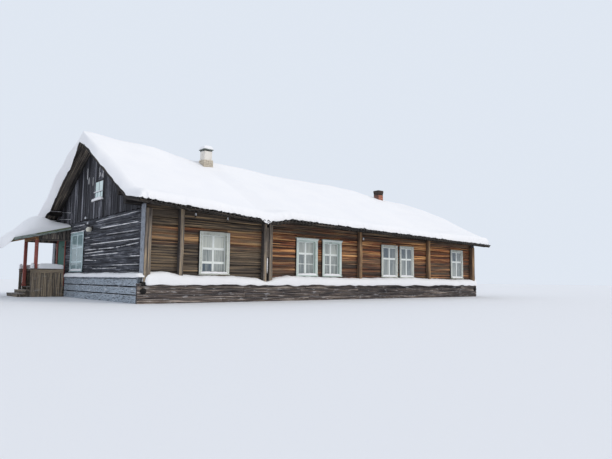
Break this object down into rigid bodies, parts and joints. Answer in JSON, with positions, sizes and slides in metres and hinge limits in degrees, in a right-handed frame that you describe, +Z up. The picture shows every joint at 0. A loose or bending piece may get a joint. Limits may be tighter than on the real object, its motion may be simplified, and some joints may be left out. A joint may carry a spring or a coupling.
{
  "type": "log farmhouse",
  "caption": "Long single-storey log house with a snow-covered gable roof, brick chimneys, small-paned windows and a lean-to porch with a hinged door on its gable.",
  "frame": {"origin": "middle of the footprint, at ground level", "axes": "+X along the front wall from the porch gable to the far gable, +Y from the front wall to the back wall, +Z up"},
  "size_m": [20.765, 11.4, 6.57],
  "materials": {
    "brown_logs": "bare weathered",
    "grey_logs": "bare weathered grey",
    "grey_boards": "bare weathered grey",
    "deck_boards": "bare boards",
    "base_boards": "worn blue-grey paint",
    "roof_sheet": "dull corrugated",
    "snow": "fresh snow",
    "plaster": "whitewashed plaster",
    "brick": "red brick",
    "sheet_metal": "dull",
    "pale_paint": "worn pale grey-green paint",
    "blue_paint": "worn pale blue-green paint",
    "red_paint": "worn red-brown paint",
    "green_paint": "worn green paint",
    "fascia_paint": "worn green paint",
    "lamp_shell": "enamelled"
  },
  "bodies": {
    "house": {"roof_front": "roof_sheet", "roof_back": "roof_sheet", "roof_snow_front": "snow", "roof_snow_back": "snow", "near_chimney_stack": "plaster", "near_chimney_cap": "sheet_metal", "near_chimney_snow": "snow", "far_chimney_stack": "brick", "front_wall_logs": "brown_logs", "back_wall_logs": "brown_logs", "gable_wall_logs": "grey_logs", "gable_wall_over_door": "grey_logs", "gable_wall_beside_door": "grey_logs", "far_gable_wall_logs": "grey_logs", "gable_boards": "grey_boards", "far_gable_boards": "grey_boards", "floor": "deck_boards", "ceiling_deck": "deck_boards", "front_window_1": "pale_paint", "front_window_2": "pale_paint", "front_window_3": "pale_paint", "front_window_4": "pale_paint", "front_window_5": "pale_paint", "front_window_6": "pale_paint", "back_window_1": "pale_paint", "back_window_2": "pale_paint", "back_window_3": "pale_paint", "gable_window": "blue_paint", "far_gable_window": "blue_paint", "attic_window": "blue_paint", "door_frame": "red_paint", "front_base_boards": "base_boards", "back_base_boards": "base_boards", "gable_base_boards": "base_boards", "far_gable_base_boards": "base_boards", "ledge_snow": "snow", "front_wall_post_1": "deck_boards", "front_wall_post_2": "deck_boards", "front_wall_post_3": "deck_boards", "front_wall_post_4": "deck_boards", "porch_floor": "deck_boards", "porch_steps": "deck_boards", "porch_near_side_boards": "deck_boards", "porch_far_side_boards": "deck_boards", "porch_near_post": "red_paint", "porch_far_post": "red_paint", "porch_roof_frame": "red_paint", "porch_roof": "roof_sheet", "porch_fascia": "fascia_paint", "porch_near_panel": "deck_boards", "porch_far_panel": "deck_boards", "porch_roof_snow": "snow", "porch_near_rail_snow": "snow", "yard_lamp": "lamp_shell"},
    "door": {"door_leaf": "green_paint"}
  },
  "joints": [
    {"name": "door_hinge", "type": "hinge", "parent": "house", "child": "door", "pos_m": [-8.2795, 3.277, 1.4], "axis": [0, 0, 1], "range_deg": [0, 90]}
  ]
}
